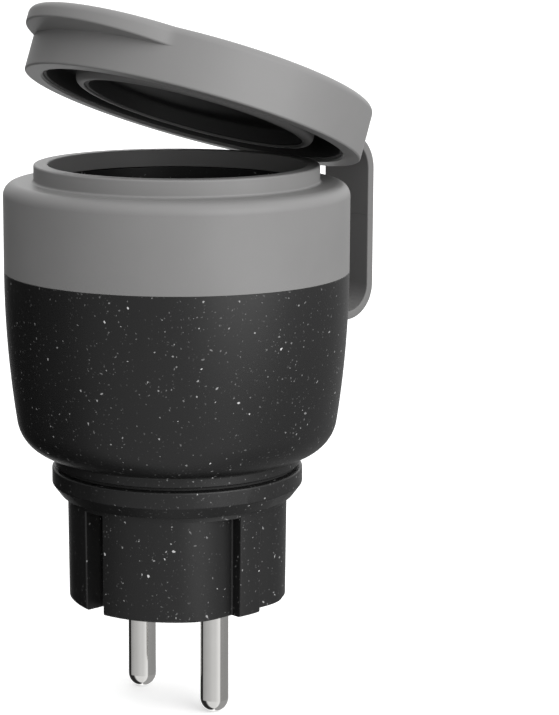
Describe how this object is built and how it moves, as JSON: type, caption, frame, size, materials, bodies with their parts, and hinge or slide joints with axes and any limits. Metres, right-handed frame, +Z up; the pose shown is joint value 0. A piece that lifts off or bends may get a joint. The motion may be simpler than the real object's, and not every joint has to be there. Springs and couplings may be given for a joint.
{
  "type": "smart plug",
  "caption": "Outdoor smart plug adapter: a round earthed two-pin plug below a bowl-shaped housing, with an earthed socket and a soft hinged lid on a strap.",
  "frame": {"origin": "centre of the plug's face, on the axis between the two pins", "axes": "+Z up along the plug's axis towards the socket, the pins lie along X, and the lid's strap is at +Y"},
  "size_m": [0.0582, 0.0708, 0.1212],
  "materials": {
    "speckled_plastic": "satin",
    "grey_plastic": "satin",
    "grey_rubber": "matte",
    "black_rubber": "satin",
    "nickel": "polished",
    "brass_contact": "satin",
    "ivory_plastic": "satin",
    "board": "gloss",
    "component_plastic": "satin",
    "component_coat": "gloss"
  },
  "bodies": {
    "housing": {"body_shell": "speckled_plastic", "plug_base": "speckled_plastic", "socket_cup": "speckled_plastic", "collar": "grey_plastic", "strap_anchor": "grey_rubber", "collar_seal": "black_rubber", "neck_seal": "black_rubber", "pin_line": "nickel", "pin_neutral": "nickel", "plug_earth_strips": "nickel", "earth_bridge": "nickel", "housing_screws": "nickel", "board_screws": "nickel", "shutter_spring": "nickel", "contact_line": "brass_contact", "contact_neutral": "brass_contact", "line_busbar": "brass_contact", "neutral_busbar": "brass_contact", "earth_link": "brass_contact", "current_shunt": "brass_contact", "contact_carrier": "ivory_plastic", "main_board": "board", "radio_module": "board", "relay": "component_plastic", "transformer": "component_plastic", "metering_chip": "component_plastic", "switch_body": "component_plastic", "filter_capacitor": "component_coat", "choke": "component_coat", "surge_varistor": "component_coat", "fuse": "component_coat"},
    "lid_body": {"lid": "grey_rubber", "lid_liner": "black_rubber", "lid_seal": "grey_rubber"},
    "strap_body": {"strap": "grey_rubber"},
    "shutter_body": {"shutter": "ivory_plastic"},
    "button_body": {"button": "black_rubber"},
    "plunger_body": {"switch_plunger": "component_plastic"}
  },
  "joints": [
    {"name": "lid_hinge", "type": "hinge", "parent": "strap_body", "child": "lid_body", "pos_m": [0, 0.03376, 0.0779], "axis": [-1, 0, 0], "range_deg": [-13.35, 68.5]},
    {"name": "strap_swing", "type": "hinge", "parent": "housing", "child": "strap_body", "pos_m": [0, 0.0301, 0.04525], "axis": [-1, 0, 0], "range_deg": [-6.75, 34.64]},
    {"name": "shutter_turn", "type": "hinge", "parent": "housing", "child": "shutter_body", "pos_m": [0, 0, 0.05465], "axis": [0, 0, -1], "range_deg": [0, 35], "stiffness_Nm_per_rad": 0.004},
    {"name": "button_press", "type": "slide", "parent": "housing", "child": "button_body", "axis": [1, 0, 0], "range_m": [0, 0.0005], "stiffness_N_per_m": 1500},
    {"name": "plunger_press", "type": "slide", "parent": "housing", "child": "plunger_body", "axis": [1, 0, 0], "range_m": [0, 0.0005]}
  ],
  "couplings": [
    {"joint": "strap_swing", "follows": "lid_hinge", "ratio": 0.50566},
    {"joint": "plunger_press", "follows": "button_press", "ratio": 1}
  ]
}
